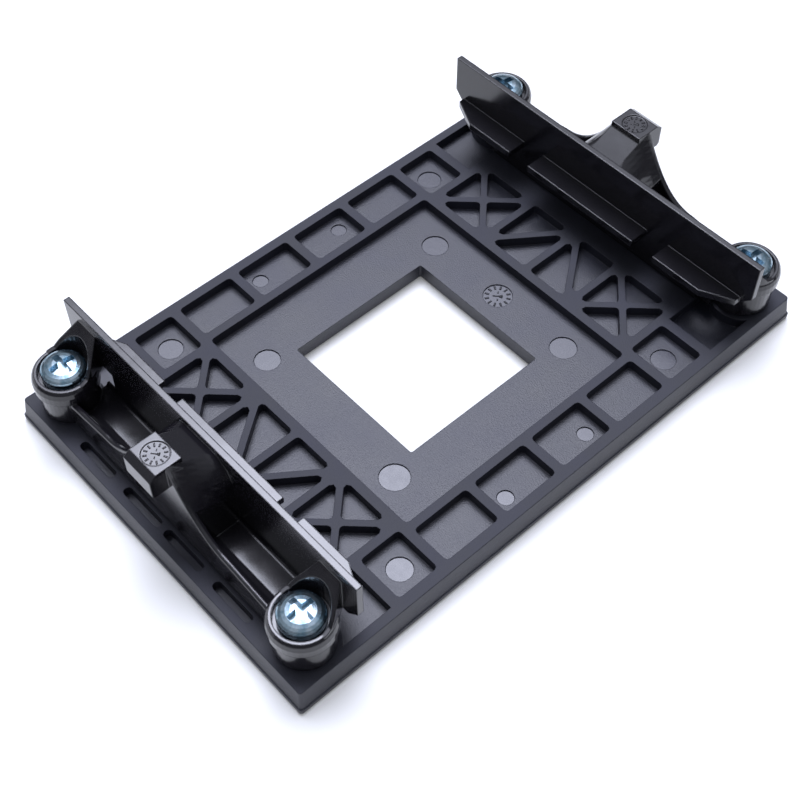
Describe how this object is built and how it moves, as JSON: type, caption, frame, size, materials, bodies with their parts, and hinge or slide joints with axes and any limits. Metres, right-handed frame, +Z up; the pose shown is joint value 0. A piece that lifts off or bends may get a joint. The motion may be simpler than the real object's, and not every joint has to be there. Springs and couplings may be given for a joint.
{
  "type": "processor cooler retention bracket set",
  "caption": "Desktop processor-cooler holder: ribbed open backplate, two clip brackets with central hook lugs, threaded inserts and cross-recess screws.",
  "frame": {"origin": "centre of the backplate's flat underside, the middle of the 54 x 90 mm hole pattern", "axes": "+Z up out of the board through the brackets, +Y from the near bracket to the far one along the long side, +X along the brackets"},
  "size_m": [0.066, 0.102, 0.0214],
  "materials": {
    "backplate": "fine matt moulded grain",
    "bracket": "glossy moulded",
    "insert": "turned",
    "screw": "blue-white zinc plated"
  },
  "bodies": {
    "base": {"backplate": "backplate", "insert_near_left": "insert", "insert_near_right": "insert", "insert_far_left": "insert", "insert_far_right": "insert"},
    "near_bracket": {"bracket_near": "bracket"},
    "far_bracket": {"bracket_far": "bracket"},
    "near_left_screw": {"screw_near_left": "screw"},
    "near_right_screw": {"screw_near_right": "screw"},
    "far_left_screw": {"screw_far_left": "screw"},
    "far_right_screw": {"screw_far_right": "screw"}
  },
  "joints": [
    {"name": "near_bracket_lift", "type": "slide", "parent": "base", "child": "near_bracket", "axis": [0, 0, 1], "range_m": [0, 0.012]},
    {"name": "far_bracket_lift", "type": "slide", "parent": "base", "child": "far_bracket", "axis": [0, 0, 1], "range_m": [0, 0.012]},
    {"name": "near_left_unscrew", "type": "slide", "parent": "near_bracket", "child": "near_left_screw", "axis": [0, 0, 1], "range_m": [0, 0.0105]},
    {"name": "near_right_unscrew", "type": "slide", "parent": "near_bracket", "child": "near_right_screw", "axis": [0, 0, 1], "range_m": [0, 0.0105]},
    {"name": "far_left_unscrew", "type": "slide", "parent": "far_bracket", "child": "far_left_screw", "axis": [0, 0, 1], "range_m": [0, 0.0105]},
    {"name": "far_right_unscrew", "type": "slide", "parent": "far_bracket", "child": "far_right_screw", "axis": [0, 0, 1], "range_m": [0, 0.0105]}
  ]
}
